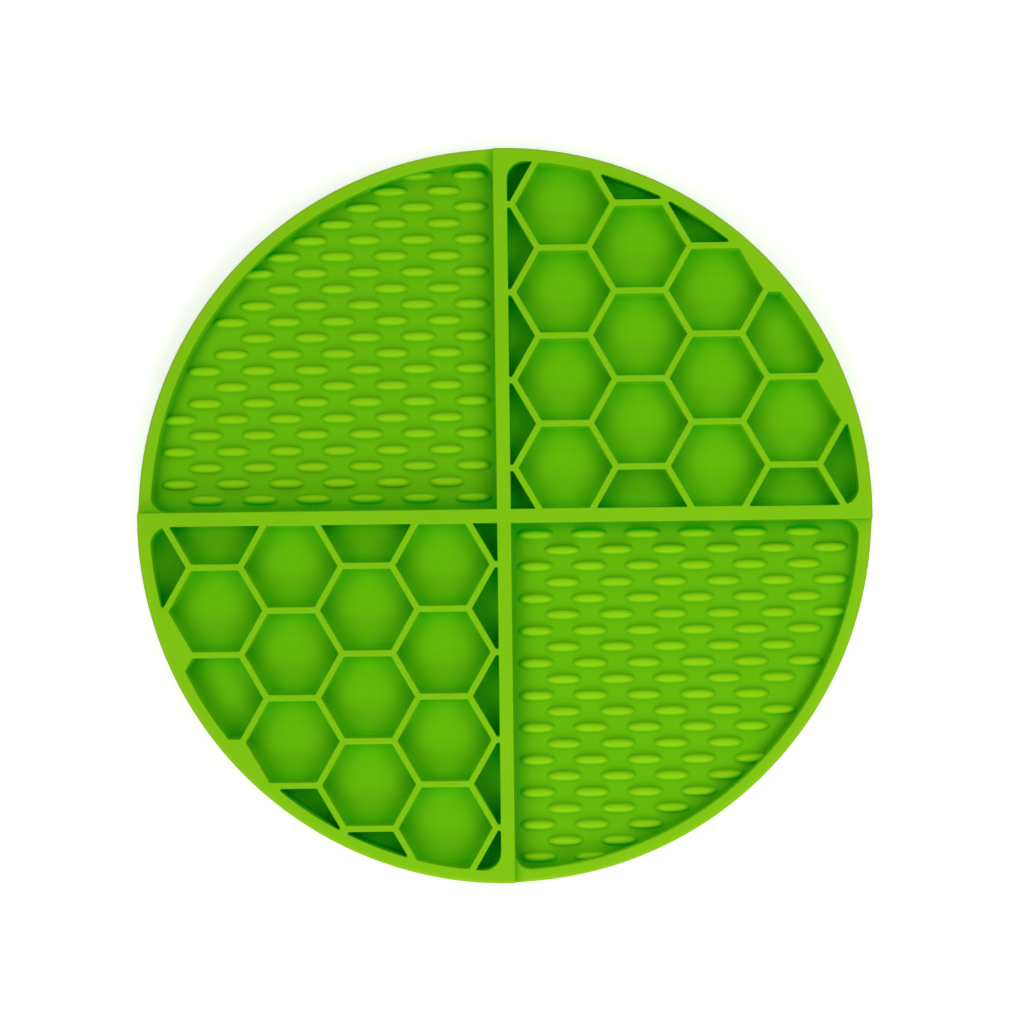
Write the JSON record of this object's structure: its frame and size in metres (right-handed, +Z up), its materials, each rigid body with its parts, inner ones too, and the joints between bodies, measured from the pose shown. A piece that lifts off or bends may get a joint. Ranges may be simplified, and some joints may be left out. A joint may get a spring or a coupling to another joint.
{
  "type": "lick mat",
  "caption": "Round silicone lick mat for pets, parted by crossing dividers into honeycomb cells and floors of rice-grain nubs, with a raised rim and suction cups below.",
  "frame": {"origin": "centre of the mat on the surface that its suction cups stand on", "axes": "+Z up out of the licking side, +Y along the long divider, +X along the right divider arm"},
  "size_m": [0.2, 0.2, 0.012],
  "materials": {
    "silicone": "lime green silicone rubber, compression moulded, soft satin"
  },
  "bodies": {
    "root": {"base_sheet": "silicone", "divider_long": "silicone", "divider_left": "silicone", "divider_right": "silicone", "rim_upper_right": "silicone", "rim_upper_left": "silicone", "rim_lower_left": "silicone", "rim_lower_right": "silicone", "honeycomb_upper_right": "silicone", "honeycomb_lower_left": "silicone", "nub_pad_upper_left": "silicone", "nub_pad_lower_right": "silicone", "suction_cups": "silicone"}
  },
  "joints": []
}
